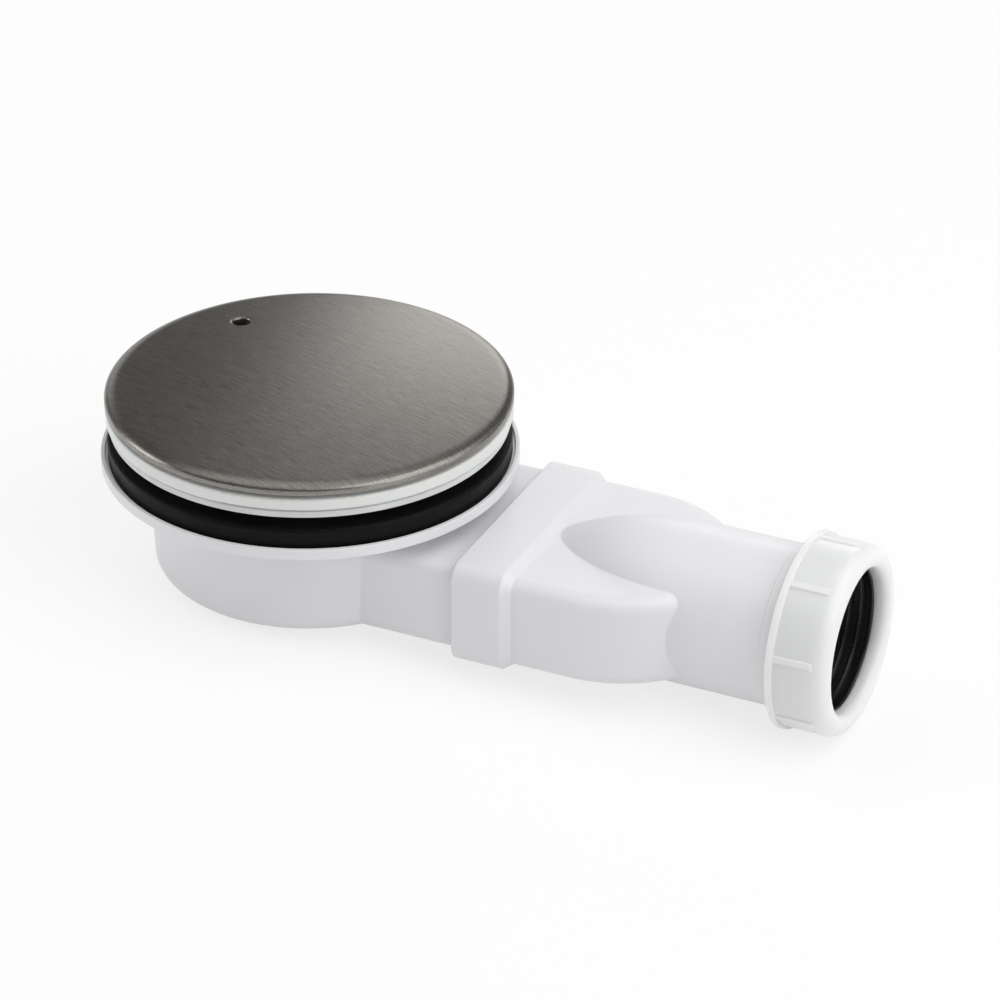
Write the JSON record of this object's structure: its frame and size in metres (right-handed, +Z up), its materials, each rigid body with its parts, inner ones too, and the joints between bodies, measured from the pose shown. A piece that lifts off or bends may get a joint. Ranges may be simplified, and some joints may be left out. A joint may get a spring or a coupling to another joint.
{
  "type": "shower trap",
  "caption": "Low shower tray trap with a domed brushed cover, a pot with a clamping flange and seals, and a flat neck that swells into a round outlet with a compression nut.",
  "frame": {"origin": "centre of the tray's waste hole, in the plane of the tray's upper surface", "axes": "+X along the outlet towards its nut, +Z up out of the tray"},
  "size_m": [0.2269, 0.1182, 0.0709],
  "materials": {
    "brushed_cover": "dark brushed with a bright turned edge",
    "white_plastic": "satin moulded",
    "flange_plastic": "satin moulded, faintly green",
    "nut_plastic": "satin moulded, slightly see-through",
    "grey_rubber": "matt",
    "black_rubber": "matt with a soft sheen",
    "stainless": "plain"
  },
  "bodies": {
    "root": {"cover_plate": "brushed_cover", "cover_carrier": "white_plastic", "clamp_flange": "flange_plastic", "upper_tray_seal": "grey_rubber", "lower_tray_seal": "black_rubber", "flange_screws": "stainless", "dip_tube": "white_plastic", "dip_tube_seal": "black_rubber", "trap_body": "white_plastic", "outlet_body": "white_plastic", "outlet_seal": "black_rubber", "outlet_nut": "nut_plastic"}
  },
  "joints": []
}
